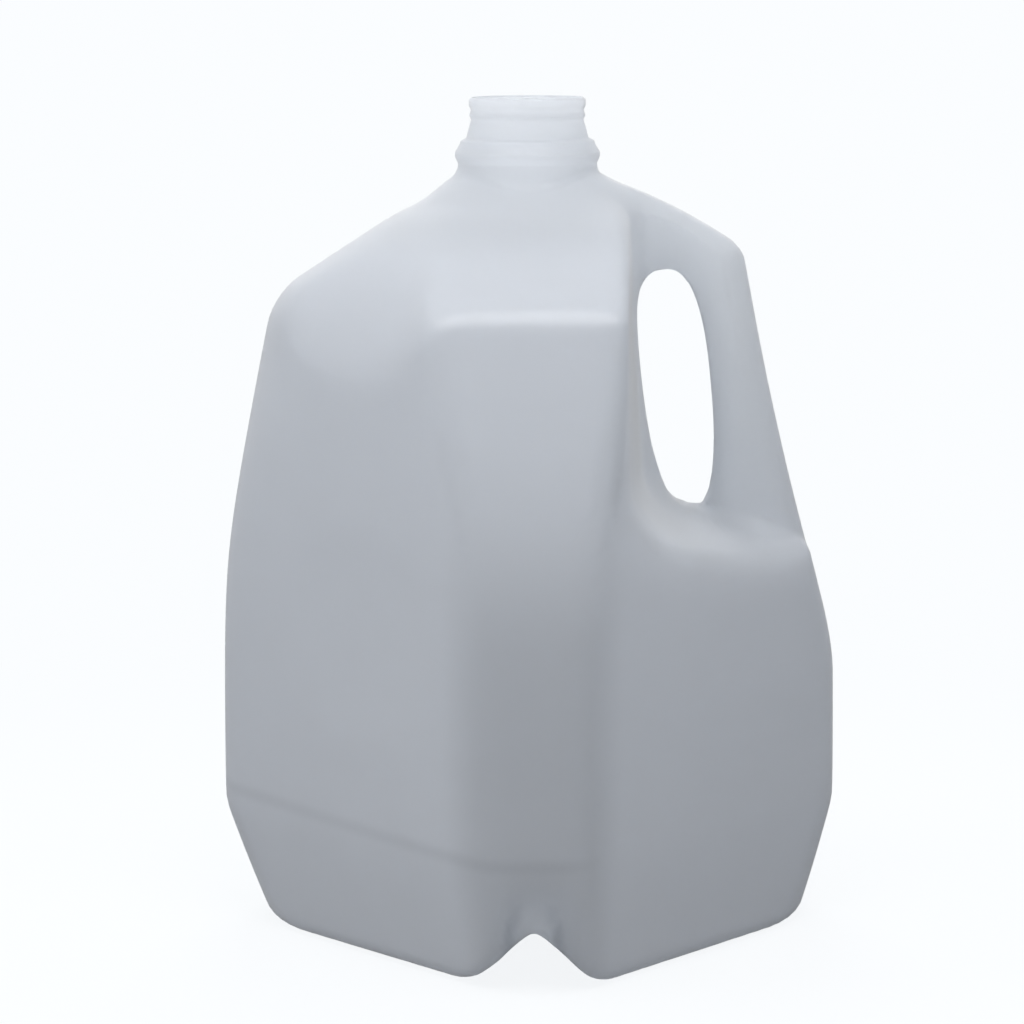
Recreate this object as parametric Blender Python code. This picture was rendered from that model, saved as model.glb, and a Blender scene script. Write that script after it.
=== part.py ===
"""Milk jug: a one-gallon bottle blow-moulded in one piece from natural polyethylene, empty and uncapped.

The jug stands on z = 0 with its neck on the z axis. The handle points to +X, and the two halves of
the mould meet in the plane y = 0. The skin starts as a coarse blank of four-sided faces with a tunnel
through it for the fingers. The blank is blown out onto the mould, which is a function that is
negative inside the jug, and a Solidify modifier then gives the skin its wall. Units are metres.
"""

import math

import bmesh
import bpy
import numpy as np

# Driving dimensions
FACE_REACH = 0.0748  # neck axis to each of the four label faces, which stand at 45 degrees to X
CORNER_REACH = 0.0982  # neck axis to the left and right corners
NEAR_REACH = 0.0920  # neck axis to the flat bands on the front and back corners
WALL = 0.00045

# Upper body: the corners lean inwards above the middle and end in a sloping shoulder
LEAN = 0.215  # run per rise of the leaning corners
LEAN_BLEND = 0.0055
SHOULDER_Z = 0.2005  # height of the front and back shoulder edges
SHOULDER_REACH = 0.0745  # axis to those edges
LEFT_SHOULDER_Z = 0.2007
LEFT_SHOULDER_REACH = 0.0804
SHOULDER_SLOPE = math.radians(33)
SHOULDER_EDGE_RADIUS = 0.0032
LEFT_EDGE_RADIUS = 0.0065
CHEEK_RADIUS = 0.024  # of the soft edge over the middle of a label face
CHEEK_HALF_WIDTH = 0.037
FLAT_EDGE_RADIUS = 0.003  # of the soft edges between the cone and its flats
DIP_DEPTH = 0.0012  # of the hollow round the root of the neck
DIP_REACH = 0.0330
DIP_WIDTH = 0.0070
BAND_EDGE_RADIUS = 0.004

# Label faces: a slight crown, and a round dimple on the two faces away from the handle
CROWN = 0.0010
CROWN_MIDDLE_Z = 0.112
CROWN_HALF_HEIGHT = 0.100
CROWN_HALF_WIDTH = 0.060
DIMPLE_Z = 0.1020
DIMPLE_RADIUS = 0.0380
DIMPLE_DEPTH = 0.0007
DIMPLE_RIM = 0.020

# Base: a tapered heel, a shallow push-up, a front to back groove and the pinch-off channel
HEEL_Z = 0.0385
HEEL_TAPER = 0.055  # share of the section lost from the top of the heel to the floor
HEEL_BOW = 0.33  # share of that taper that comes from the heel being rounded
HEEL_SHIFT = 0.0018  # how far the floor end of the heel stands towards +X
HEEL_CORNER = 0.0080  # how much further the two rounded corners come in
HEEL_BLEND = 0.002
FOOT_RADIUS = 0.005
PUSH_UP_HEIGHT = 0.006
PUSH_UP_RADIUS = 0.050
GROOVE_HEIGHT = 0.0165
GROOVE_CLIMB_FROM = 0.0870
GROOVE_CLIMB = 3.5
DENT_DEPTH = 0.0012
DENT_X = 0.0027
DENT_WIDTH = 0.0020
DENT_TOP_Z = 0.036
DENT_HEIGHT = 0.016
DENT_SPREAD = 0.3
GROOVE_CREST_RADIUS = 0.0026
GROOVE_EDGE_RADIUS = 0.004
PINCH_DEPTH = 0.0022
PINCH_SLOPE = 0.45

# Handle: a plate between the back outline and the finger hole, rounded into a grip
BACK_TOP_Z = 0.2000
BACK_TOP_X = 0.0700
BACK_SLOPE = 0.187
BACK_BOW = 0.54
TOP_START_X = 0.0263
TOP_START_Z = 0.2360
TOP_SLOPE = 0.342
TOP_BOW = 4.2
HANDLE_CORNER_RADIUS = 0.003
GRIP_HALF_WIDTH = 0.0125
GRIP_RADIUS = 0.009
HOLE_CENTRE = (0.0470, 0.1700)
HOLE_HALF = (0.0111, 0.0386)
HOLE_TILT = math.radians(7.3)
HOLE_POWER = 2.5
HOLE_EGG = 0.12

# Finger pocket round the hole
POCKET_FRONT_X = 0.0280
POCKET_FRONT_REACH = 0.0780
POCKET_NECK_CURVE = 12.0
POCKET_NECK_Z = 0.2085
POCKET_HOLE_X = 0.0330
POCKET_HOLE_Z = 0.196
POCKET_HOLE_LEAN = 0.10
POCKET_CORNER_RADIUS = 0.012  # on the mould line, growing towards the mouth
POCKET_CORNER_GROWTH = 0.12
POCKET_EDGE_RADIUS = 0.0035
LEDGE_Z = 0.1312
LEDGE_X = 0.0515
LEDGE_FALL_X = 0.20
LEDGE_FALL_Y = 0.10
LEDGE_TWIST = 9.0
RIM_WIDTH = 0.004  # the bevel round the mouth of the pocket, beside and below it
RIM_HEIGHT = 0.0065
RIM_TILT = math.radians(17)
RIM_EDGE_RADIUS = 0.001
GRIP_FOOT_Z = 0.100
ROOT_RADIUS = 0.007
ROOT_SPREAD = 0.5  # how fast that radius grows from the mould line and from the back outline

# Neck: radius and height up the outside, from the root to the lip
NECK_ROOT_RADIUS = 0.0217
NECK_FILLET = 0.002
NECK_ROOT_Z = 0.2415
NECK_PROFILE = (
    (0.0226, 0.2436),
    (0.0227, 0.2448),
    (0.0212, 0.2473),
    (0.0208, 0.2486),
    (0.0191, 0.2492),
    (0.0183, 0.2523),
    (0.0176, 0.2545),
    (0.0175, 0.2551),
    (0.0181, 0.2563),
    (0.0176, 0.2576),
    (0.0176, 0.2581),
    (0.0182, 0.2593),
    (0.0182, 0.2611),
    (0.0177, 0.2620),
)

HALF_TURN = 12  # faces of the blank round half the jug
BODY_FACES = 4680  # triangles of the outer skin below the neck
NECK_SIDES = 48
ROOT2 = math.sqrt(2)


def round_over(a, b, radius):
    """The larger of two distances, with the outside edge between them rounded."""
    corner = np.hypot(np.maximum(a + radius, 0), np.maximum(b + radius, 0))
    return np.minimum(np.maximum(a, b), -radius) + corner


def fill_in(a, b, radius):
    """The smaller of two distances, with the inside corner between them filled."""
    return -round_over(-a, -b, radius)


def ramp(t, blend):
    """t where it is positive and 0 elsewhere, turning smoothly."""
    return (t + np.sqrt(t * t + blend * blend)) / 2


def leaning(reach, top_reach, top_z, z):
    """Reach of a corner at height z: upright below, leaning in towards the shoulder above."""
    line = top_reach + LEAN * (top_z - z)
    return reach - ramp(reach - line, LEAN_BLEND)


def back_x(z):
    """The back outline of the handle and of the corner below it."""
    down = BACK_TOP_Z - z
    return BACK_TOP_X + BACK_SLOPE * down + BACK_BOW * down * np.abs(down)


def top_z(x):
    """The top outline, from the neck to the corner of the handle."""
    along = x - TOP_START_X
    return TOP_START_Z - TOP_SLOPE * along - TOP_BOW * along * np.abs(along)


def hole(x, z):
    """Distance into the finger hole, seen along y."""
    dx = x - HOLE_CENTRE[0]
    dz = z - HOLE_CENTRE[1]
    up = (dz * math.cos(HOLE_TILT) - dx * math.sin(HOLE_TILT)) / HOLE_HALF[1]
    across = (dx * math.cos(HOLE_TILT) + dz * math.sin(HOLE_TILT)) / HOLE_HALF[0]
    across = across / (1 + HOLE_EGG * up)
    ring = (np.abs(up) ** HOLE_POWER + np.abs(across) ** HOLE_POWER) ** (1 / HOLE_POWER)
    return (1 - ring) * HOLE_HALF[0]


def label_relief(across, z, has_dimple):
    """How far a label face stands in from its flat plane: the crown less the dimple."""
    crown = 1 - (across / CROWN_HALF_WIDTH) ** 2 - ((z - CROWN_MIDDLE_Z) / CROWN_HALF_HEIGHT) ** 2
    dish = np.clip((DIMPLE_RADIUS - np.hypot(across, z - DIMPLE_Z)) / DIMPLE_RIM, 0, 1)
    dish = dish * dish * (3 - 2 * dish)
    return DIMPLE_DEPTH * dish * has_dimple - CROWN * np.maximum(crown, 0)


def dents(x, z):
    """The two shallow dents above the notch of the groove, with a rib between them."""
    down = np.clip((DENT_TOP_Z - z) / DENT_HEIGHT, 0, 1)
    off = (np.abs(x) - DENT_X - DENT_SPREAD * down * DENT_HEIGHT) / DENT_WIDTH
    return DENT_DEPTH * down * down * (3 - 2 * down) * np.exp(-off * off)


def walls(x, y, z):
    """The upright sides: four label faces, two rounded corners and two flat bands."""
    fall = ramp(HEEL_Z - z, HEEL_BLEND) / HEEL_Z
    scale = 1 - HEEL_TAPER * fall * (1 - HEEL_BOW + HEEL_BOW * fall)
    relief = label_relief((np.abs(x) - np.abs(y)) / ROOT2, z, x < 0)
    x = np.abs(x - HEEL_SHIFT * fall) / scale
    y = np.abs(y) / scale
    reach = leaning(CORNER_REACH, LEFT_SHOULDER_REACH, LEFT_SHOULDER_Z, z) - HEEL_CORNER * fall
    radius = (FACE_REACH * ROOT2 - reach) / (ROOT2 - 1)
    faces = round_over((x + y) / ROOT2 - FACE_REACH, (x - y) / ROOT2 - FACE_REACH, radius)
    bands = y - leaning(NEAR_REACH, SHOULDER_REACH, SHOULDER_Z, z) + dents(x, z)
    return round_over(faces + relief, bands, BAND_EDGE_RADIUS)


def shoulders(side, x, y, z):
    """The sides closed over by a cone round the neck, cut flat over the front and back bands."""
    reach = np.hypot(x, y)
    y = np.abs(y)
    rise = math.cos(SHOULDER_SLOPE)
    run = math.sin(SHOULDER_SLOPE)
    flat = (z - SHOULDER_Z) * rise + (y - SHOULDER_REACH) * run
    cone = (z - LEFT_SHOULDER_Z) * rise + (reach - LEFT_SHOULDER_REACH) * run
    cone = cone + DIP_DEPTH * np.exp(-(((reach - DIP_REACH) / DIP_WIDTH) ** 2))
    across = (np.abs(x) - y) / ROOT2 / CHEEK_HALF_WIDTH
    radius = np.where(across > 0, LEFT_EDGE_RADIUS, SHOULDER_EDGE_RADIUS)
    radius = radius + (CHEEK_RADIUS - radius) * np.clip(1 - np.abs(across) ** 3, 0, 1) ** 2
    return round_over(side, round_over(cone, flat, FLAT_EDGE_RADIUS), radius)


def underside(y, x, z):
    """Height of the base above the floor: push-up, front to back groove and pinch-off channel."""
    y = np.abs(y)
    dome = np.clip(1 - np.hypot(x, y) / PUSH_UP_RADIUS, 0, 1)
    push_up = PUSH_UP_HEIGHT * dome * dome * (3 - 2 * dome) - z
    crest = np.sqrt(x * x + GROOVE_CREST_RADIUS**2) - GROOVE_CREST_RADIUS
    climb = GROOVE_CLIMB * ramp(y - GROOVE_CLIMB_FROM, HEEL_BLEND)
    groove = (GROOVE_HEIGHT + climb - crest - z) / ROOT2
    pinch = PINCH_DEPTH - PINCH_SLOPE * y - z
    return round_over(np.maximum(push_up, pinch), groove, GROOVE_EDGE_RADIUS)


def pocket(x, y, z, width=0.0, height=0.0):
    """Distance into the finger pocket, or into one that is wider on the left and deeper below."""
    out = np.abs(y) - GRIP_HALF_WIDTH
    right = x - LEDGE_X
    front_x = POCKET_FRONT_X - POCKET_NECK_CURVE * ramp(z - POCKET_NECK_Z, LEAN_BLEND) ** 2
    hole_x = POCKET_HOLE_X + POCKET_HOLE_LEAN * ramp(POCKET_HOLE_Z - z, LEAN_BLEND)
    wall_x = hole_x + (front_x - hole_x) * np.abs(y) / POCKET_FRONT_REACH
    twist = LEDGE_TWIST * ramp(right, LEAN_BLEND / 2) * ramp(out, LEAN_BLEND / 2)
    ledge_z = LEDGE_Z - LEDGE_FALL_X * right - LEDGE_FALL_Y * out - twist
    radius = POCKET_CORNER_RADIUS + POCKET_CORNER_GROWTH * np.abs(y)
    return fill_in(x - wall_x + width, z - ledge_z + height, radius)


def handle(x, y, z):
    """The plate that carries the grip, which also closes the body beside and below the hole."""
    back = (x - back_x(z)) * math.cos(math.atan(BACK_SLOPE))
    top = (z - top_z(x)) * math.cos(math.atan(TOP_SLOPE))
    outline = np.maximum(round_over(back, top, HANDLE_CORNER_RADIUS), -x)
    return round_over(np.maximum(outline, hole(x, z)), np.abs(y) - GRIP_HALF_WIDTH, GRIP_RADIUS)


def mould(points):
    """Signed distance, nearly, from the surface of the jug below its neck."""
    x, y, z = points.T
    side = walls(x, y, z)
    body = shoulders(side, x, y, z)
    body = round_over(body, (x - back_x(z)) * math.cos(math.atan(BACK_SLOPE)), HANDLE_CORNER_RADIUS)
    body = round_over(body, underside(y, x, z), FOOT_RADIUS)
    rim = side * math.cos(RIM_TILT) + pocket(x, y, z, RIM_WIDTH, RIM_HEIGHT) * math.sin(RIM_TILT)
    body = round_over(round_over(body, rim, RIM_EDGE_RADIUS), pocket(x, y, z), POCKET_EDGE_RADIUS)
    grip = round_over(handle(x, y, z), GRIP_FOOT_Z - z, GRIP_RADIUS)
    root = ROOT_SPREAD * np.minimum(np.abs(y), np.maximum(back_x(z) - x, 0))
    body = fill_in(body, grip, np.minimum(root, ROOT_RADIUS))
    neck = np.maximum(np.hypot(x, y) - NECK_ROOT_RADIUS, SHOULDER_Z - z)
    return fill_in(body, neck, NECK_FILLET)


# The blank: left, front and right reach and height of each ring of faces, from the base to the neck
RINGS = (
    (0.030, 0.030, 0.030, 0.004),
    (0.062, 0.058, 0.062, 0.000),
    (0.086, 0.082, 0.086, 0.000),
    (0.096, 0.090, 0.096, 0.032),
    (0.097, 0.092, 0.097, 0.058),
    (0.096, 0.092, 0.096, 0.083),
    (0.094, 0.090, 0.092, 0.108),
    (0.092, 0.086, 0.086, 0.1315),
    (0.090, 0.083, 0.081, 0.152),
    (0.087, 0.080, 0.077, 0.171),
    (0.083, 0.076, 0.073, 0.190),
    (0.070, 0.068, 0.069, 0.209),
    (0.052, 0.050, 0.062, 0.220),
    (0.034, 0.034, 0.036, 0.233),
    (NECK_ROOT_RADIUS, NECK_ROOT_RADIUS, NECK_ROOT_RADIUS, NECK_ROOT_Z),
)
TUNNEL_RINGS = (7, 11)  # first and last ring that meet the finger hole
TUNNEL_COLUMNS = (8, 10)  # first and last column that meet it
TUNNEL_XS = ((0.0480, 0.0513, 0.0550), (0.0400, 0.0585), (0.0365, 0.0575), (0.0345, 0.0545),
             (0.0385, 0.0430, 0.0480))


def blank():
    """The blank, as a bmesh closed but for its neck."""
    bm = bmesh.new()
    first, last = TUNNEL_RINGS
    begin, end = TUNNEL_COLUMNS
    sides = []
    for side in (-1, 1):
        rings = []
        for k, (left, front, right, z) in enumerate(RINGS):
            ring = {}
            in_tunnel = first <= k <= last
            stop = begin if in_tunnel else HALF_TURN
            hole_xs = TUNNEL_XS[k - first] if in_tunnel else ()
            far_end = hole_xs[0] if in_tunnel else right
            for i in range(stop + 1):
                turn = math.pi * i / stop
                x = (far_end - left) / 2 - (far_end + left) / 2 * math.cos(turn)
                ring[i] = (x, side * front * math.sin(turn), z)
            if in_tunnel:
                if len(hole_xs) == 3:
                    ring[begin + 1] = (hole_xs[1], 0, z)
                ring[end] = (hole_xs[-1], 0, z)
                ring[end + 1] = ((hole_xs[-1] + right) / 2, side * GRIP_HALF_WIDTH, z)
                ring[HALF_TURN] = (right, 0, z)
            rings.append(ring)
        sides.append(rings)
    made = {}

    def vertex(point):
        key = tuple(round(value, 7) + 0.0 for value in point)
        if key not in made:
            made[key] = bm.verts.new(point)
        return made[key]

    pole = vertex((0, 0, PUSH_UP_HEIGHT))
    for side, rings in zip((-1, 1), sides):
        for i in range(HALF_TURN):
            corners = [pole, vertex(rings[0][i + 1]), vertex(rings[0][i])]
            bm.faces.new(corners if side < 0 else corners[::-1])
        for k in range(len(RINGS) - 1):
            for i in range(HALF_TURN):
                if first <= k < last and begin <= i < end:
                    continue
                corners = [rings[k][i], rings[k][i + 1], rings[k + 1][i + 1], rings[k + 1][i]]
                corners = [vertex(point) for point in corners]
                bm.faces.new(corners if side < 0 else corners[::-1])
    return bm


def slope(points):
    """Gradient of the mould function."""
    step = 1e-5
    return np.stack([(mould(points + step * axis) - mould(points - step * axis)) / (2 * step)
                     for axis in np.eye(3)], axis=1)


def blow(bm, passes):
    """Presses the vertices onto the mould while spreading them evenly along it.

    The open edge of the neck stays where it is.
    """
    bm.verts.ensure_lookup_table()
    bm.verts.index_update()
    ends = np.array([[vertex.index for vertex in edge.verts] for edge in bm.edges])
    loose = np.array([not vertex.is_boundary for vertex in bm.verts])
    points = np.array([vertex.co for vertex in bm.verts], dtype=float)
    links = np.bincount(ends.ravel(), minlength=len(points))[:, None]
    for step in range(passes + 6):
        away = slope(points)
        steep = np.maximum((away * away).sum(axis=1), 0.25)
        move = -away * np.clip(mould(points) / steep, -0.01, 0.01)[:, None]
        if step < passes:
            total = np.zeros_like(points)
            np.add.at(total, ends[:, 0], points[ends[:, 1]])
            np.add.at(total, ends[:, 1], points[ends[:, 0]])
            spread = 0.6 * (total / links - points)
            move += spread - away * ((spread * away).sum(axis=1) / steep)[:, None]
        points[loose] += move[loose]
    for vertex, point in zip(bm.verts, points):
        if vertex.is_boundary:
            reach = NECK_ROOT_RADIUS / math.hypot(point[0], point[1])
            point = (point[0] * reach, point[1] * reach, point[2])
        vertex.co = point


def turn_neck(bm):
    """Joins the rings of the neck, from its root to its lip, to the open edge of the body."""
    rim = [edge for edge in bm.edges if edge.is_boundary]
    for radius, z in NECK_PROFILE:
        ring = [bm.verts.new((radius * math.cos(math.tau * i / NECK_SIDES),
                              radius * math.sin(math.tau * i / NECK_SIDES), z))
                for i in range(NECK_SIDES)]
        loop = [bm.edges.new((ring[i - 1], ring[i])) for i in range(NECK_SIDES)]
        bmesh.ops.bridge_loops(bm, edges=rim + loop)
        rim = loop


def thin_out(mesh, faces):
    """Collapses the mesh evenly on both sides of the mould line to about this many triangles."""
    holder = bpy.data.objects.new("blank", mesh)
    bpy.context.scene.collection.objects.link(holder)
    thin = holder.modifiers.new("thin", "DECIMATE")
    thin.ratio = faces / (2 * len(mesh.polygons))
    thin.use_symmetry = True
    thin.symmetry_axis = "Y"
    graph = bpy.context.evaluated_depsgraph_get()
    bm = bmesh.new()
    bm.from_object(holder, graph)
    bpy.data.objects.remove(holder)
    return bm


for old in list(bpy.data.objects):
    bpy.data.objects.remove(old)
bm = blank()
blow(bm, 0)
for passes in (3, 40, 80):
    bmesh.ops.subdivide_edges(bm, edges=list(bm.edges), cuts=1, use_grid_fill=True)
    blow(bm, passes)
mesh = bpy.data.meshes.new("jug")
bm.to_mesh(mesh)
bm.free()
bm = thin_out(mesh, BODY_FACES)
blow(bm, 0)
turn_neck(bm)
bmesh.ops.recalc_face_normals(bm, faces=bm.faces)
bm.to_mesh(mesh)
bm.free()
for face in mesh.polygons:
    face.use_smooth = True
plastic = bpy.data.materials.new("natural polyethylene")
plastic.use_nodes = True
shader = plastic.node_tree.nodes["Principled BSDF"]
shader.inputs["Base Color"].default_value = (0.66, 0.68, 0.70, 1)
shader.inputs["Roughness"].default_value = 0.38
shader.inputs["Metallic"].default_value = 0
mesh.materials.append(plastic)
jug = bpy.data.objects.new("jug", mesh)
bpy.context.scene.collection.objects.link(jug)
skin = jug.modifiers.new("wall", "SOLIDIFY")
skin.thickness = WALL
skin.offset = -1
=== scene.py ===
import math

import bmesh
import bpy
import numpy as np
from mathutils import Matrix, Vector


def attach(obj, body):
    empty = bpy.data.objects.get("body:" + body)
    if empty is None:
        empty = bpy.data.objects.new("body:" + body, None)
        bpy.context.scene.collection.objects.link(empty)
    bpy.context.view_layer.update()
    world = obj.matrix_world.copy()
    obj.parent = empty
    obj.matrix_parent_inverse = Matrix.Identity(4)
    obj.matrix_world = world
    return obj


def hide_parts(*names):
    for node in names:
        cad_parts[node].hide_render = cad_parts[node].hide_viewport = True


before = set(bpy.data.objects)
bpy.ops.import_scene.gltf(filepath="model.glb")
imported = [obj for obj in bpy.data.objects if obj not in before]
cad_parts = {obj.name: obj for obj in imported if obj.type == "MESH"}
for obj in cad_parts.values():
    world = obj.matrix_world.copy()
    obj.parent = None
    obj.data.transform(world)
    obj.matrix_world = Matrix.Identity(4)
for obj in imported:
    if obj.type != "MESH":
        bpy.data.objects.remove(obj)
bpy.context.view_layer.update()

# The jug itself: one skin of natural polyethylene, blown from a hot tube of plastic inside a
# two-part mould and pinched shut along the base. It starts as the tube, drawn here ring by ring
# from the base to the neck, and is pressed onto the mould while it is cut finer and finer.
FACE_REACH = 0.0748
CORNER_REACH = 0.0982
NEAR_REACH = 0.0920
LEAN = 0.215
LEAN_BLEND = 0.0055
SHOULDER_Z = 0.2005
SHOULDER_REACH = 0.0745
LEFT_SHOULDER_Z = 0.2007
LEFT_SHOULDER_REACH = 0.0804
SHOULDER_SLOPE = math.radians(33)
SHOULDER_EDGE_RADIUS = 0.0032
LEFT_EDGE_RADIUS = 0.0065
CHEEK_RADIUS = 0.024
CHEEK_HALF_WIDTH = 0.037
FLAT_EDGE_RADIUS = 0.003
DIP_DEPTH = 0.0012
DIP_REACH = 0.0330
DIP_WIDTH = 0.0070
BAND_EDGE_RADIUS = 0.004
CROWN = 0.0010
CROWN_MIDDLE_Z = 0.112
CROWN_HALF_HEIGHT = 0.100
CROWN_HALF_WIDTH = 0.060
DIMPLE_Z = 0.1020
DIMPLE_RADIUS = 0.0380
DIMPLE_DEPTH = 0.0007
DIMPLE_RIM = 0.020
HEEL_Z = 0.0385
HEEL_TAPER = 0.055
HEEL_BOW = 0.33
HEEL_SHIFT = 0.0018
HEEL_CORNER = 0.0080
HEEL_BLEND = 0.002
FOOT_RADIUS = 0.005
PUSH_UP_HEIGHT = 0.006
PUSH_UP_RADIUS = 0.050
GROOVE_HEIGHT = 0.0165
GROOVE_CLIMB_FROM = 0.0870
GROOVE_CLIMB = 3.5
GROOVE_CREST_RADIUS = 0.0026
GROOVE_EDGE_RADIUS = 0.004
DENT_DEPTH = 0.0012
DENT_X = 0.0027
DENT_WIDTH = 0.0020
DENT_TOP_Z = 0.036
DENT_HEIGHT = 0.016
DENT_SPREAD = 0.3
PINCH_DEPTH = 0.0022
PINCH_SLOPE = 0.45
BACK_TOP_Z = 0.2000
BACK_TOP_X = 0.0700
BACK_SLOPE = 0.187
BACK_BOW = 0.54
TOP_START_X = 0.0263
TOP_START_Z = 0.2360
TOP_SLOPE = 0.342
TOP_BOW = 4.2
HANDLE_CORNER_RADIUS = 0.003
GRIP_HALF_WIDTH = 0.0125
GRIP_RADIUS = 0.009
HOLE_CENTRE = (0.0470, 0.1700)
HOLE_HALF = (0.0111, 0.0386)
HOLE_TILT = math.radians(7.3)
HOLE_POWER = 2.5
HOLE_EGG = 0.12
POCKET_FRONT_X = 0.0280
POCKET_FRONT_REACH = 0.0780
POCKET_NECK_CURVE = 12.0
POCKET_NECK_Z = 0.2085
POCKET_HOLE_X = 0.0330
POCKET_HOLE_Z = 0.196
POCKET_HOLE_LEAN = 0.10
POCKET_CORNER_RADIUS = 0.012
POCKET_CORNER_GROWTH = 0.12
POCKET_EDGE_RADIUS = 0.0035
LEDGE_Z = 0.1312
LEDGE_X = 0.0515
LEDGE_FALL_X = 0.20
LEDGE_FALL_Y = 0.10
LEDGE_TWIST = 9.0
RIM_WIDTH = 0.004
RIM_HEIGHT = 0.0065
RIM_TILT = math.radians(17)
RIM_EDGE_RADIUS = 0.001
GRIP_FOOT_Z = 0.100
ROOT_RADIUS = 0.007
ROOT_SPREAD = 0.5
NECK_ROOT_RADIUS = 0.0217
NECK_FILLET = 0.002
NECK_ROOT_Z = 0.2415
ROOT2 = math.sqrt(2)


def round_over(a, b, radius):
    """The larger of two distances, with the outside edge between them rounded."""
    corner = np.hypot(np.maximum(a + radius, 0), np.maximum(b + radius, 0))
    return np.minimum(np.maximum(a, b), -radius) + corner


def fill_in(a, b, radius):
    """The smaller of two distances, with the inside corner between them filled."""
    return -round_over(-a, -b, radius)


def ramp(t, blend):
    """t where it is positive and 0 elsewhere, turning smoothly."""
    return (t + np.sqrt(t * t + blend * blend)) / 2


def leaning(reach, top_reach, top_z, z):
    """Reach of a corner at height z: upright below, leaning in towards the shoulder above."""
    line = top_reach + LEAN * (top_z - z)
    return reach - ramp(reach - line, LEAN_BLEND)


def back_x(z):
    """The back outline of the handle and of the corner below it."""
    down = BACK_TOP_Z - z
    return BACK_TOP_X + BACK_SLOPE * down + BACK_BOW * down * np.abs(down)


def top_z(x):
    """The top outline, from the neck to the corner of the handle."""
    along = x - TOP_START_X
    return TOP_START_Z - TOP_SLOPE * along - TOP_BOW * along * np.abs(along)


def hole(x, z):
    """Distance into the finger hole, seen along y."""
    dx = x - HOLE_CENTRE[0]
    dz = z - HOLE_CENTRE[1]
    up = (dz * math.cos(HOLE_TILT) - dx * math.sin(HOLE_TILT)) / HOLE_HALF[1]
    across = (dx * math.cos(HOLE_TILT) + dz * math.sin(HOLE_TILT)) / HOLE_HALF[0]
    across = across / (1 + HOLE_EGG * up)
    ring = (np.abs(up) ** HOLE_POWER + np.abs(across) ** HOLE_POWER) ** (1 / HOLE_POWER)
    return (1 - ring) * HOLE_HALF[0]


def label_relief(across, z, has_dimple):
    """How far a label face stands in from its flat plane: the crown less the dimple."""
    crown = 1 - (across / CROWN_HALF_WIDTH) ** 2 - ((z - CROWN_MIDDLE_Z) / CROWN_HALF_HEIGHT) ** 2
    dish = np.clip((DIMPLE_RADIUS - np.hypot(across, z - DIMPLE_Z)) / DIMPLE_RIM, 0, 1)
    dish = dish * dish * (3 - 2 * dish)
    return DIMPLE_DEPTH * dish * has_dimple - CROWN * np.maximum(crown, 0)


def dents(x, z):
    """The two shallow dents above the notch of the groove, with a rib between them."""
    down = np.clip((DENT_TOP_Z - z) / DENT_HEIGHT, 0, 1)
    off = (np.abs(x) - DENT_X - DENT_SPREAD * down * DENT_HEIGHT) / DENT_WIDTH
    return DENT_DEPTH * down * down * (3 - 2 * down) * np.exp(-off * off)


def walls(x, y, z):
    """The upright sides: four label faces, two rounded corners and two flat bands."""
    fall = ramp(HEEL_Z - z, HEEL_BLEND) / HEEL_Z
    scale = 1 - HEEL_TAPER * fall * (1 - HEEL_BOW + HEEL_BOW * fall)
    relief = label_relief((np.abs(x) - np.abs(y)) / ROOT2, z, x < 0)
    x = np.abs(x - HEEL_SHIFT * fall) / scale
    y = np.abs(y) / scale
    reach = leaning(CORNER_REACH, LEFT_SHOULDER_REACH, LEFT_SHOULDER_Z, z) - HEEL_CORNER * fall
    radius = (FACE_REACH * ROOT2 - reach) / (ROOT2 - 1)
    faces = round_over((x + y) / ROOT2 - FACE_REACH, (x - y) / ROOT2 - FACE_REACH, radius)
    bands = y - leaning(NEAR_REACH, SHOULDER_REACH, SHOULDER_Z, z) + dents(x, z)
    return round_over(faces + relief, bands, BAND_EDGE_RADIUS)


def shoulders(side, x, y, z):
    """The sides closed over by a cone round the neck, cut flat over the front and back bands."""
    reach = np.hypot(x, y)
    y = np.abs(y)
    rise = math.cos(SHOULDER_SLOPE)
    run = math.sin(SHOULDER_SLOPE)
    flat = (z - SHOULDER_Z) * rise + (y - SHOULDER_REACH) * run
    cone = (z - LEFT_SHOULDER_Z) * rise + (reach - LEFT_SHOULDER_REACH) * run
    cone = cone + DIP_DEPTH * np.exp(-(((reach - DIP_REACH) / DIP_WIDTH) ** 2))
    across = (np.abs(x) - y) / ROOT2 / CHEEK_HALF_WIDTH
    radius = np.where(across > 0, LEFT_EDGE_RADIUS, SHOULDER_EDGE_RADIUS)
    radius = radius + (CHEEK_RADIUS - radius) * np.clip(1 - np.abs(across) ** 3, 0, 1) ** 2
    return round_over(side, round_over(cone, flat, FLAT_EDGE_RADIUS), radius)


def underside(x, y, z):
    """Height of the base above the floor: push-up, front to back groove and pinch-off channel."""
    y = np.abs(y)
    dome = np.clip(1 - np.hypot(x, y) / PUSH_UP_RADIUS, 0, 1)
    push_up = PUSH_UP_HEIGHT * dome * dome * (3 - 2 * dome) - z
    crest = np.sqrt(x * x + GROOVE_CREST_RADIUS**2) - GROOVE_CREST_RADIUS
    climb = GROOVE_CLIMB * ramp(y - GROOVE_CLIMB_FROM, HEEL_BLEND)
    groove = (GROOVE_HEIGHT + climb - crest - z) / ROOT2
    pinch = PINCH_DEPTH - PINCH_SLOPE * y - z
    return round_over(np.maximum(push_up, pinch), groove, GROOVE_EDGE_RADIUS)


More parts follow.
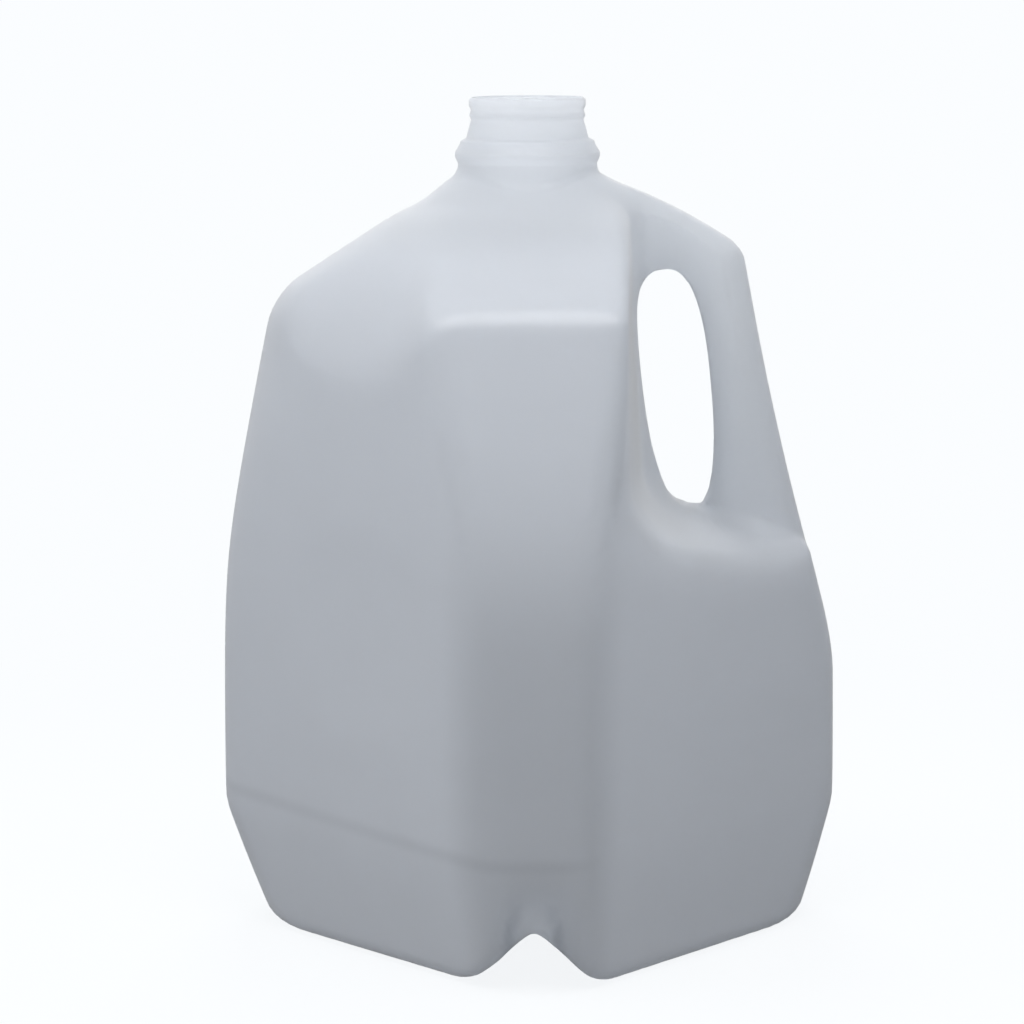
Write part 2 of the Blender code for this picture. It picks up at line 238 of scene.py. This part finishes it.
def pocket(x, y, z, width=0.0, height=0.0):
    """Distance into the finger pocket, or into one that is wider on the left and deeper below."""
    out = np.abs(y) - GRIP_HALF_WIDTH
    right = x - LEDGE_X
    front_x = POCKET_FRONT_X - POCKET_NECK_CURVE * ramp(z - POCKET_NECK_Z, LEAN_BLEND) ** 2
    hole_x = POCKET_HOLE_X + POCKET_HOLE_LEAN * ramp(POCKET_HOLE_Z - z, LEAN_BLEND)
    wall_x = hole_x + (front_x - hole_x) * np.abs(y) / POCKET_FRONT_REACH
    twist = LEDGE_TWIST * ramp(right, LEAN_BLEND / 2) * ramp(out, LEAN_BLEND / 2)
    ledge_z = LEDGE_Z - LEDGE_FALL_X * right - LEDGE_FALL_Y * out - twist
    radius = POCKET_CORNER_RADIUS + POCKET_CORNER_GROWTH * np.abs(y)
    return fill_in(x - wall_x + width, z - ledge_z + height, radius)


def handle(x, y, z):
    """The plate that carries the grip, which also closes the body beside and below the hole."""
    back = (x - back_x(z)) * math.cos(math.atan(BACK_SLOPE))
    top = (z - top_z(x)) * math.cos(math.atan(TOP_SLOPE))
    outline = np.maximum(round_over(back, top, HANDLE_CORNER_RADIUS), -x)
    return round_over(np.maximum(outline, hole(x, z)), np.abs(y) - GRIP_HALF_WIDTH, GRIP_RADIUS)


def mould(points):
    """Signed distance, nearly, from the surface of the jug below its neck."""
    x, y, z = points.T
    side = walls(x, y, z)
    body = shoulders(side, x, y, z)
    body = round_over(body, (x - back_x(z)) * math.cos(math.atan(BACK_SLOPE)), HANDLE_CORNER_RADIUS)
    body = round_over(body, underside(x, y, z), FOOT_RADIUS)
    rim = side * math.cos(RIM_TILT) + pocket(x, y, z, RIM_WIDTH, RIM_HEIGHT) * math.sin(RIM_TILT)
    body = round_over(round_over(body, rim, RIM_EDGE_RADIUS), pocket(x, y, z), POCKET_EDGE_RADIUS)
    grip = round_over(handle(x, y, z), GRIP_FOOT_Z - z, GRIP_RADIUS)
    root = ROOT_SPREAD * np.minimum(np.abs(y), np.maximum(back_x(z) - x, 0))
    body = fill_in(body, grip, np.minimum(root, ROOT_RADIUS))
    neck = np.maximum(np.hypot(x, y) - NECK_ROOT_RADIUS, SHOULDER_Z - z)
    return fill_in(body, neck, NECK_FILLET)


RINGS = (
    (0.030, 0.030, 0.030, 0.004),
    (0.062, 0.058, 0.062, 0.000),
    (0.086, 0.082, 0.086, 0.000),
    (0.096, 0.090, 0.096, 0.032),
    (0.097, 0.092, 0.097, 0.058),
    (0.096, 0.092, 0.096, 0.083),
    (0.094, 0.090, 0.092, 0.108),
    (0.092, 0.086, 0.086, 0.1315),
    (0.090, 0.083, 0.081, 0.152),
    (0.087, 0.080, 0.077, 0.171),
    (0.083, 0.076, 0.073, 0.190),
    (0.070, 0.068, 0.069, 0.209),
    (0.052, 0.050, 0.062, 0.220),
    (0.034, 0.034, 0.036, 0.233),
    (NECK_ROOT_RADIUS, NECK_ROOT_RADIUS, NECK_ROOT_RADIUS, NECK_ROOT_Z),
)
SIDES = 24
HOLE_LEFT, HOLE_MIDDLE, HOLE_RIGHT, GRIP_SIDE = 8, 9, 10, 11
HOLE_PLACES = {  # ring: places along x of the sides of the finger hole, where the two halves meet
    7: (0.0480, 0.0513, 0.0550),
    8: (0.0400, 0.0585),
    9: (0.0365, 0.0575),
    10: (0.0345, 0.0545),
    11: (0.0385, 0.0430, 0.0480),
}
SLOPE_STEP = 1e-5
STEEP_LEAST = 0.25
LONGEST_MOVE = 0.01
SPREAD_SHARE = 0.6
LAST_STEPS = 6
SPREADING_PASSES = (3, 40, 80)
SHARP_BENDS = (math.radians(15), math.radians(26))
MERGE_DISTANCE = 1e-5


def slope(points):
    """Gradient of the mould function."""
    return np.stack([(mould(points + SLOPE_STEP * axis) - mould(points - SLOPE_STEP * axis))
                     / (2 * SLOPE_STEP) for axis in np.eye(3)], axis=1)


def corners(mesh):
    """Places of a mesh's vertices, one row each."""
    places = np.empty(len(mesh.vertices) * 3)
    mesh.vertices.foreach_get("co", places)
    return places.reshape(-1, 3)


def blow(mesh, passes):
    """Presses the tube onto the mould while spreading its vertices evenly; the neck edge stays."""
    points = corners(mesh)
    ends = np.empty(len(mesh.edges) * 2, dtype=np.int32)
    mesh.edges.foreach_get("vertices", ends)
    ends = ends.reshape(-1, 2)
    rim = points[:, 2] > NECK_ROOT_Z - MERGE_DISTANCE
    links = np.bincount(ends.ravel(), minlength=len(points))[:, None]
    for step in range(passes + LAST_STEPS):
        away = slope(points)
        steep = np.maximum((away * away).sum(axis=1), STEEP_LEAST)
        move = -away * np.clip(mould(points) / steep, -LONGEST_MOVE, LONGEST_MOVE)[:, None]
        if step < passes:
            total = np.zeros_like(points)
            np.add.at(total, ends[:, 0], points[ends[:, 1]])
            np.add.at(total, ends[:, 1], points[ends[:, 0]])
            spread = SPREAD_SHARE * (total / links - points)
            move += spread - away * ((spread * away).sum(axis=1) / steep)[:, None]
        points[~rim] += move[~rim]
    points[rim, :2] *= NECK_ROOT_RADIUS / np.hypot(points[rim, 0], points[rim, 1])[:, None]
    mesh.vertices.foreach_set("co", points.ravel())
    mesh.update()


for shown in bpy.context.selected_objects:
    shown.select_set(False)
left, front, right, height = RINGS[0]
bpy.ops.mesh.primitive_circle_add(vertices=SIDES, radius=1, fill_type="TRIFAN")
skin = bpy.context.object
skin.name = skin.data.name = "jug_skin"
bpy.ops.object.mode_set(mode="EDIT")
bpy.ops.transform.resize(value=(left, front, 1), center_override=(0, 0, 0))
bpy.ops.transform.translate(value=(0, 0, height))
bpy.ops.mesh.select_mode(type="EDGE")
bpy.ops.mesh.region_to_loop()
middle, half = 0.0, left
for next_left, next_front, next_right, next_height in RINGS[1:]:
    next_middle, next_half = (next_right - next_left) / 2, (next_right + next_left) / 2
    bpy.ops.mesh.extrude_edges_move(
        TRANSFORM_OT_translate={"value": (next_middle - middle, 0, next_height - height)})
    bpy.ops.transform.resize(value=(next_half / half, next_front / front, 1),
                             center_override=(next_middle, 0, next_height))
    middle, half, front, height = next_middle, next_half, next_front, next_height

# The finger hole: the tube's front and back are drawn together round it, cut out and welded, as
# the two halves of the mould pinch them. A vertex is known by its ring and by its turn, which runs
# from 0 on the left to 12 on the right.
tube = bmesh.from_edit_mesh(skin.data)
tube.verts.ensure_lookup_table()
spots = {}
for ring, (left, front, right, height) in enumerate(RINGS):
    for vertex in tube.verts[SIDES * ring + (ring > 0):SIDES * (ring + 1) + (ring > 0)]:
        across = (vertex.co.x - (right - left) / 2) / ((right + left) / 2)
        side = -1 if vertex.co.y < 0 else 1
        turn = round(SIDES / 2 / math.pi * math.atan2(abs(vertex.co.y) / front, -across))
        spots[vertex] = (ring, turn)
        if ring not in HOLE_PLACES:
            continue
        places = HOLE_PLACES[ring]
        if turn <= HOLE_LEFT:
            angle = math.pi * turn / HOLE_LEFT
            vertex.co.x = (places[0] - left) / 2 - (places[0] + left) / 2 * math.cos(angle)
            vertex.co.y = side * front * math.sin(angle)
        elif turn == HOLE_MIDDLE:
            vertex.co.x, vertex.co.y = places[len(places) // 2], 0
        elif turn == HOLE_RIGHT:
            vertex.co.x, vertex.co.y = places[-1], 0
        elif turn == GRIP_SIDE:
            vertex.co.x, vertex.co.y = (places[-1] + right) / 2, side * GRIP_HALF_WIDTH
bpy.ops.mesh.select_mode(type="FACE")
bpy.ops.mesh.select_all(action="DESELECT")
for face in tube.faces:
    around = [spots.get(vertex, (0, 0)) for vertex in face.verts]
    face.select = all(ring in HOLE_PLACES and HOLE_LEFT <= turn <= HOLE_RIGHT for ring, turn in around)
bmesh.update_edit_mesh(skin.data)
bpy.ops.mesh.delete(type="FACE")
bpy.ops.mesh.select_all(action="SELECT")
bpy.ops.mesh.remove_doubles(threshold=MERGE_DISTANCE)
bpy.ops.mesh.normals_make_consistent(inside=False)
bpy.ops.object.mode_set(mode="OBJECT")

# The blowing: the tube is pressed onto the mould, cut finer all over and pressed again, and then
# only its sharp bends are cut finer.
blow(skin.data, 0)
for passes in SPREADING_PASSES:
    bpy.ops.object.mode_set(mode="EDIT")
    bpy.ops.mesh.select_all(action="SELECT")
    bpy.ops.mesh.subdivide(number_cuts=1, smoothness=0)
    bpy.ops.object.mode_set(mode="OBJECT")
    blow(skin.data, passes)
for sharp_bend in SHARP_BENDS:
    bpy.ops.object.mode_set(mode="EDIT")
    bpy.ops.mesh.select_mode(type="FACE")
    bpy.ops.mesh.select_all(action="DESELECT")
    tube = bmesh.from_edit_mesh(skin.data)
    for edge in tube.edges:
        if len(edge.link_faces) == 2 and edge.calc_face_angle() > sharp_bend:
            for face in edge.link_faces:
                face.select = True
    bmesh.update_edit_mesh(skin.data)
    bpy.ops.mesh.subdivide(number_cuts=1, smoothness=0)
    bpy.ops.object.mode_set(mode="OBJECT")
    blow(skin.data, 0)

# The neck: a beaded finish for a snap-on cap, compressed from the same tube of plastic as the body
# and stiffer than it. It is drawn up from the body ring by ring, along a profile that is smoothed.
NECK_PROFILE = (
    (0.0226, 0.2436),
    (0.0227, 0.2448),
    (0.0212, 0.2473),
    (0.0208, 0.2486),
    (0.0191, 0.2492),
    (0.0183, 0.2523),
    (0.0176, 0.2545),
    (0.0175, 0.2551),
    (0.0181, 0.2563),
    (0.0176, 0.2576),
    (0.0176, 0.2581),
    (0.0182, 0.2593),
    (0.0182, 0.2611),
    (0.0177, 0.2620),
)
NECK_TOP_Z = NECK_PROFILE[-1][1]
NECK_STEP = 0.0004
PROFILE_BELOW = 0.001
PROFILE_ABOVE = 0.0005
PROFILE_SAMPLES = 1075
PROFILE_BLUR = 25
LIP_RADIUS = 0.0006
levels = np.linspace(NECK_ROOT_Z - PROFILE_BELOW, NECK_TOP_Z + PROFILE_ABOVE, PROFILE_SAMPLES)
reaches = np.interp(levels, [NECK_ROOT_Z] + [z for _, z in NECK_PROFILE],
                    [NECK_ROOT_RADIUS] + [r for r, _ in NECK_PROFILE])
weights = np.hanning(PROFILE_BLUR + 2)[1:-1]
reaches = np.convolve(np.pad(reaches, PROFILE_BLUR // 2, mode="edge"), weights / weights.sum(),
                      mode="valid")
bpy.ops.object.mode_set(mode="EDIT")
bpy.ops.mesh.select_mode(type="EDGE")
bpy.ops.mesh.select_all(action="SELECT")
bpy.ops.mesh.region_to_loop()
radius, height = NECK_ROOT_RADIUS, NECK_ROOT_Z
for next_height in np.arange(NECK_ROOT_Z + NECK_STEP, NECK_TOP_Z + MERGE_DISTANCE, NECK_STEP).tolist():
    next_radius = float(np.interp(next_height, levels, reaches))
    next_radius -= LIP_RADIUS * max(0.0, 1 - (NECK_TOP_Z - next_height) / LIP_RADIUS) ** 2
    bpy.ops.mesh.extrude_edges_move(TRANSFORM_OT_translate={"value": (0, 0, next_height - height)})
    bpy.ops.transform.resize(value=(next_radius / radius, next_radius / radius, 1),
                             center_override=(0, 0, next_height))
    radius, height = next_radius, next_height
bpy.ops.mesh.select_all(action="SELECT")
bpy.ops.mesh.remove_doubles(threshold=MERGE_DISTANCE / 10)
bpy.ops.mesh.normals_make_consistent(inside=False)
bpy.ops.object.mode_set(mode="OBJECT")

# The thickness of the plastic, with painted light and shade: blowing draws it thin in the two bands,
# along their edges and in the dents, which are also painted darker as shade, and it stays thick in the
# grip, the neck and the weld above the notch, which are also painted lighter where they lie in shade.
# Two attributes keep these shares, of thin plastic with painted shade and of thick plastic with
# painted light, for the tint and the light let through, and a vertex group the wall's thickness.
# Thin plastic, also painted shade: along the convex edges by the bands, over the lower bands and in
# the dents.
THIN_AND_SHADE_BEND = 40.0
THIN_AND_SHADE_BEND_RANGE = 85.0
THIN_AND_SHADE_BEND_REACH = 0.002
THIN_AND_SHADE_BEND_STEEP_LEAST = 0.3
THIN_AND_SHADE_BAND_Y = 0.080
THIN_AND_SHADE_BAND_RANGE = 0.009
THIN_AND_SHADE_BAND_TOP_Z = 0.165
THIN_AND_SHADE_BAND_FADE = 0.060
THIN_AND_SHADE_BAND_SHARE = 0.66
THIN_AND_SHADE_EDGE_TOP_Z = 0.190
THIN_AND_SHADE_EDGE_FADE = 0.085
THIN_AND_SHADE_EDGE_Y = 0.066
THIN_AND_SHADE_EDGE_RANGE = 0.006
THIN_AND_SHADE_EDGE_FOOT_FADE = 0.020
THIN_AND_SHADE_DENT_SHARE = 0.8
# Thick plastic, also painted light: in the grip and its pocket, over the neck and its flare, and in
# the weld above the notch, where these lie in shade.
THICK_AND_LIT_FADE = 0.010
THICK_AND_LIT_GRIP_X = 0.024
THICK_AND_LIT_GRIP_Z = 0.120
THICK_AND_LIT_GRIP_Y = 0.058
THICK_AND_LIT_GRIP_OUTER_X = 0.068
THICK_AND_LIT_GRIP_OUTER_LOSS = 0.6
THICK_AND_LIT_NECK_Z = 0.214
THICK_AND_LIT_NECK_SHARE = 0.8
THICK_AND_LIT_WELD_Z = 0.034
THICK_AND_LIT_WELD_X = 0.014
THICK_AND_LIT_WELD_SHARE = 0.9
WALL = 0.00112
BODY_WALL_SHARE = 0.4
WALL_CHANGE_Z = 0.236
WALL_CHANGE_HEIGHT = 0.006
SHARP_EDGE = math.radians(50)


def rising(value, start, length):
    """0 up to start and 1 from start + length on; a negative length makes it fall instead."""
    return np.clip((value - start) / length, 0, 1)


points = corners(skin.data)
x, y, z = points.T
# How sharply the mould bends outward, for the painted shade along the convex edges by the bands.
bend = np.zeros(len(points))
for direction, axis in enumerate(np.eye(3)):
    for reach in (THIN_AND_SHADE_BEND_REACH, -THIN_AND_SHADE_BEND_REACH):
        away = slope(points + reach * axis)
        steep = np.maximum(np.linalg.norm(away, axis=1), THIN_AND_SHADE_BEND_STEEP_LEAST)
        bend += away[:, direction] / steep / (2 * reach)
edges = rising(bend, THIN_AND_SHADE_BEND, THIN_AND_SHADE_BEND_RANGE) * rising(np.abs(y), THIN_AND_SHADE_EDGE_Y, THIN_AND_SHADE_EDGE_RANGE)
edges *= rising(z, GROOVE_HEIGHT, THIN_AND_SHADE_EDGE_FOOT_FADE) * rising(z, THIN_AND_SHADE_EDGE_TOP_Z, -THIN_AND_SHADE_EDGE_FADE)
band = rising(np.abs(y), THIN_AND_SHADE_BAND_Y, THIN_AND_SHADE_BAND_RANGE) * rising(z, THIN_AND_SHADE_BAND_TOP_Z, -THIN_AND_SHADE_BAND_FADE)
weld = rising(z, THICK_AND_LIT_WELD_Z, -THICK_AND_LIT_FADE) * rising(np.abs(x), THICK_AND_LIT_WELD_X, -THICK_AND_LIT_FADE)
grip = rising(x, THICK_AND_LIT_GRIP_X, THICK_AND_LIT_FADE) * rising(z, THICK_AND_LIT_GRIP_Z, THICK_AND_LIT_FADE)
grip *= rising(np.abs(y), THICK_AND_LIT_GRIP_Y, -THICK_AND_LIT_FADE)
grip *= 1 - THICK_AND_LIT_GRIP_OUTER_LOSS * rising(x, THICK_AND_LIT_GRIP_OUTER_X, THICK_AND_LIT_FADE)
# Thin share with painted shade: darker along the band edges, over the bands and in the dents, but not
# in the weld.
thin = np.maximum(edges, THIN_AND_SHADE_BAND_SHARE * band) * (1 - weld)
thin = np.maximum(thin, THIN_AND_SHADE_DENT_SHARE * np.clip(dents(x, z) / DENT_DEPTH, 0, 1))
# Thick share with painted light: lighter in the grip and pocket, over the neck with its flare, and in
# the weld.
thick_and_lit = np.maximum(grip, THICK_AND_LIT_NECK_SHARE * rising(z, THICK_AND_LIT_NECK_Z, THICK_AND_LIT_FADE))
thick_and_lit = np.maximum(thick_and_lit, THICK_AND_LIT_WELD_SHARE * weld)
for name, share in (("thin", thin), ("thick_and_lit", thick_and_lit)):
    spread = skin.data.attributes.new(name, "FLOAT", "POINT")
    spread.data.foreach_set("value", share.astype(np.float32))
group = skin.vertex_groups.new(name="wall")
for index, up in enumerate(rising(z, WALL_CHANGE_Z, WALL_CHANGE_HEIGHT).tolist()):
    group.add([index], BODY_WALL_SHARE + (1 - BODY_WALL_SHARE) * up, "REPLACE")
wall = skin.modifiers.new("wall", "SOLIDIFY")
wall.thickness = WALL
wall.offset = -1
wall.vertex_group = group.name
bpy.ops.object.modifier_apply(modifier=wall.name)
bpy.ops.object.shade_smooth_by_angle(angle=SHARP_EDGE)
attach(skin, "root")
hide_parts("jug")

# The plastic itself: undyed polyethylene, milky and bluish, with a matt skin that the mould leaves.
# Light goes through it as well as off it, more so where it is thick and where light is painted in. It
# is whiter where it is thick, and there light is also painted in where the grip, the pocket, the flare
# under the neck ring and the notch lie in shade; it is greyer where it is thin, with painted shade
# along the band edges, over the bands and in the dents, and a line of painted shade runs along the
# crease of the heel.
MILKY = ((0.885, 0.905, 0.935, 1), (0.905, 0.925, 0.955, 1))
# Whiter tint where the plastic is thick, also laid on as painted light.
THICK_AND_LIT_TINT = (0.950, 0.962, 0.978, 1)
# Greyer tint where the plastic is thin, also laid on as painted shade, and as the painted shade of the
# heel crease.
THIN_AND_SHADE_TINT = (0.77, 0.79, 0.82, 1)
CLOUD_SCALE = 38.0
SWELL_SCALE = 45.0
SWELL_HEIGHT = 0.00027
SWELL_STRENGTH = 0.5
# A line of painted shade along the crease above the heel, fading out just right of the middle.
CREASE_Z = 0.0449
CREASE_FALL = 0.056
CREASE_HALF_WIDTH = 0.0034
CREASE_SHADE_SHARE = 0.35
CREASE_END_X = 0.022
CREASE_END_FADE = 0.014
GLOSS = (0.30, 0.05)
SKIN_IOR = 1.6
GLANCE_IOR = 1.5
GLANCE_FROM = 1.04
THROUGH_SHARE = (0.72, 0.24)


class Sock:
    """A shader socket that takes Python's operators."""

    def __init__(self, tree, socket):
        self.tree, self.socket = tree, socket

    def node(self, kind, settings=(), out=0, **links):
        """Adds a node: its settings first, then the values or links of its sockets."""
        made = self.tree.nodes.new(kind)
        for name, value in dict(settings).items():
            setattr(made, name, value)
        for name, value in links.items():
            target = made.inputs[int(name[1:]) if name[0] == "i" and name[1:].isdigit()
                                 else name.replace("_", " ")]
            if isinstance(value, Sock):
                self.tree.links.new(value.socket, target)
            else:
                target.default_value = value
        return Sock(self.tree, made.outputs[out])

    def math(self, operation, a, b=0.0):
        return self.node("ShaderNodeMath", {"operation": operation}, i0=a, i1=b)

    def __add__(self, other):
        return self.math("ADD", self, other)

    __radd__ = __add__

    def __sub__(self, other):
        return self.math("SUBTRACT", self, other)

    def __rsub__(self, other):
        return self.math("SUBTRACT", other, self)

    def __mul__(self, other):
        return self.math("MULTIPLY", self, other)

    __rmul__ = __mul__

    def __abs__(self):
        return self.math("ABSOLUTE", self)


plastic = bpy.data.materials.new("natural polyethylene")
plastic.use_nodes = True
tree = plastic.node_tree
tree.nodes.clear()
place = Sock(tree, tree.nodes.new("ShaderNodeTexCoord").outputs["Object"])
across, deep, high = (place.node("ShaderNodeSeparateXYZ", out=axis, Vector=place) for axis in range(3))
cloud = place.node("ShaderNodeTexNoise", Vector=place, Scale=CLOUD_SCALE, Detail=3.0, Roughness=0.5)
swell = place.node("ShaderNodeTexNoise", Vector=place, Scale=SWELL_SCALE, Detail=1.0, Roughness=0.4)
# The shares of thin plastic with painted shade and of thick plastic with painted light.
thin = place.node("ShaderNodeAttribute", {"attribute_name": "thin"}, out=2)
thick_and_lit = place.node("ShaderNodeAttribute", {"attribute_name": "thick_and_lit"}, out=2)
# The heel crease: a greyer line of painted shade along the crease above the heel.
crease_shade = place.node("ShaderNodeMapRange", {"interpolation_type": "SMOOTHSTEP"},
                    Value=abs(high - (CREASE_Z - CREASE_FALL * abs(deep))),
                    From_Min=0.0, From_Max=CREASE_HALF_WIDTH, To_Min=CREASE_SHADE_SHARE, To_Max=0.0)
crease_shade *= place.node("ShaderNodeMapRange", Value=across, From_Min=CREASE_END_X - CREASE_END_FADE,
                     From_Max=CREASE_END_X, To_Min=1.0, To_Max=0.0)
milky = place.node("ShaderNodeMix", {"data_type": "RGBA"}, out=2, i0=cloud, i6=MILKY[0], i7=MILKY[1])
white = place.node("ShaderNodeMix", {"data_type": "RGBA"}, out=2, i0=thick_and_lit, i6=milky, i7=THICK_AND_LIT_TINT)
# Greyer where the plastic is thin and as painted shade, and painted shade along the heel crease.
tint = place.node("ShaderNodeMix", {"data_type": "RGBA"}, out=2, i0=thin + crease_shade, i6=white,
                  i7=THIN_AND_SHADE_TINT)
bump = place.node("ShaderNodeBump", Height=swell, Distance=SWELL_HEIGHT, Strength=SWELL_STRENGTH)
matt = place.node("ShaderNodeBsdfPrincipled", Base_Color=tint, Roughness=GLOSS[0] + cloud * GLOSS[1],
                  Normal=bump, IOR=SKIN_IOR, Specular_IOR_Level=1.0)
through = place.node("ShaderNodeBsdfTranslucent", Color=tint, Normal=bump)
glance = place.node("ShaderNodeFresnel", IOR=GLANCE_IOR)
# More light goes through where the plastic is thick, which also lightens the shaded grip, pocket, neck
# flare and notch as painted light.
inward = (GLANCE_FROM - glance) * (THROUGH_SHARE[0] + THROUGH_SHARE[1] * thick_and_lit)
mixed = place.node("ShaderNodeMixShader", i0=inward, i1=matt, i2=through)
tree.links.new(mixed.socket, tree.nodes.new("ShaderNodeOutputMaterial").inputs["Surface"])
skin.data.materials.clear()
skin.data.materials.append(plastic)

# The stage: a pale floor that runs to the horizon under a white sky. The floor glows as the sky
# does and takes only a trace of shade, near the foot of the jug.
BACKDROP = (0.962, 0.982, 1.0, 1)
SHADE = 0.10
SHADE_REACH = 0.45
FLOOR_SIZE = 400
bpy.ops.mesh.primitive_plane_add(size=FLOOR_SIZE)
floor = bpy.context.object
floor.name = "floor"
paper = bpy.data.materials.new("white paper")
paper.use_nodes = True
tree = paper.node_tree
tree.nodes.clear()
place = Sock(tree, tree.nodes.new("ShaderNodeTexCoord").outputs["Object"])
away = place.node("ShaderNodeVectorMath", {"operation": "LENGTH"}, out=1, i0=place)
near = place.node("ShaderNodeMapRange", {"interpolation_type": "SMOOTHSTEP"}, Value=away,
                  From_Min=SHADE_REACH, From_Max=0.0, To_Min=0.0, To_Max=SHADE)
glow = place.node("ShaderNodeEmission", Color=BACKDROP, Strength=1.0)
matt = place.node("ShaderNodeBsdfDiffuse", Color=BACKDROP)
sheet = place.node("ShaderNodeMixShader", i0=near, i1=glow, i2=matt)
tree.links.new(sheet.socket, tree.nodes.new("ShaderNodeOutputMaterial").inputs["Surface"])
floor.data.materials.append(paper)
floor.visible_diffuse = floor.visible_glossy = floor.visible_transmission = False
floor.visible_shadow = False

# The sky and the lamps: a faint even light from all round, white where the camera sees it, and large
# soft lamps. Only the overhead one shows in the gloss, along the edge of the shoulders.
AMBIENT = 0.15
LAMP_AIM = (0, 0, 0.12)
LAMP_SIZE = (0.6, 0.6)
world = bpy.data.worlds.new("studio")
bpy.context.scene.world = world
world.use_nodes = True
tree = world.node_tree
tree.nodes.clear()
seen = Sock(tree, tree.nodes.new("ShaderNodeLightPath").outputs["Is Camera Ray"])
soft = seen.node("ShaderNodeBackground", Color=(1, 1, 1, 1), Strength=AMBIENT)
white = seen.node("ShaderNodeBackground", Color=BACKDROP, Strength=1.0)
sky = seen.node("ShaderNodeMixShader", i0=seen, i1=soft, i2=white)
tree.links.new(sky.socket, tree.nodes.new("ShaderNodeOutputWorld").inputs["Surface"])
bpy.context.scene.view_settings.view_transform = "Standard"


def softbox(name, place, size, power):
    """A rectangular area light at place, facing the middle of the jug."""
    lamp = bpy.data.lights.new(name, "AREA")
    lamp.shape = "RECTANGLE"
    lamp.size, lamp.size_y = size
    lamp.energy = power
    stand = bpy.data.objects.new(name, lamp)
    bpy.context.scene.collection.objects.link(stand)
    aim = (Vector(LAMP_AIM) - Vector(place)).to_track_quat("-Z", "Y").to_matrix().to_4x4()
    aim.translation = Vector(place)
    stand.matrix_world = aim
    stand.visible_camera = False
    stand.visible_glossy = name == "overhead softbox"


softbox("high left softbox", (-0.8, 0, 0.95), LAMP_SIZE, 3.40)
softbox("high right softbox", (0.8, 0, 0.95), LAMP_SIZE, 2.38)
softbox("high back softbox", (0, 0.8, 0.95), LAMP_SIZE, 6.02)
softbox("overhead softbox", (0, -0.25, 0.6), (0.5, 0.3), 2.21)
softbox("low front softbox", (0, -0.9, 0.04), (0.8, 0.06), 2.77)
softbox("low bounce softbox", (0, -0.6, -0.45), (0.5, 0.3), 0.40)
softbox("left softbox", (-1.0, 0, 0.25), LAMP_SIZE, 2.85)
softbox("right softbox", (1.0, 0, 0.25), LAMP_SIZE, 0.70)
softbox("back right softbox", (0.8, 0.8, 0.3), LAMP_SIZE, 4.11)
softbox("back left softbox", (-0.8, 0.8, 0.3), LAMP_SIZE, 1.66)

# The camera: in front of the jug and a little above its neck, looking down at it.
CAMERA_PLACE = (-0.0148, -0.9945, 0.2939)
CAMERA_PITCH = math.radians(9.3)
CAMERA_YAW = math.radians(0.55)
CAMERA_ROLL = math.radians(-0.22)
SENSOR_WIDTH = 36
FOCAL_SHARE = 3170 / 1024
lens = bpy.data.cameras.new("camera")
lens.sensor_width = SENSOR_WIDTH
lens.lens = FOCAL_SHARE * SENSOR_WIDTH
camera = bpy.data.objects.new("camera", lens)
bpy.context.scene.collection.objects.link(camera)
bpy.context.scene.camera = camera
level = math.cos(CAMERA_PITCH)
sight = Vector((math.sin(CAMERA_YAW) * level, math.cos(CAMERA_YAW) * level, -math.sin(CAMERA_PITCH)))
aim = sight.to_track_quat("-Z", "Y").to_matrix().to_4x4() @ Matrix.Rotation(CAMERA_ROLL, 4, "Z")
aim.translation = Vector(CAMERA_PLACE)
camera.matrix_world = aim
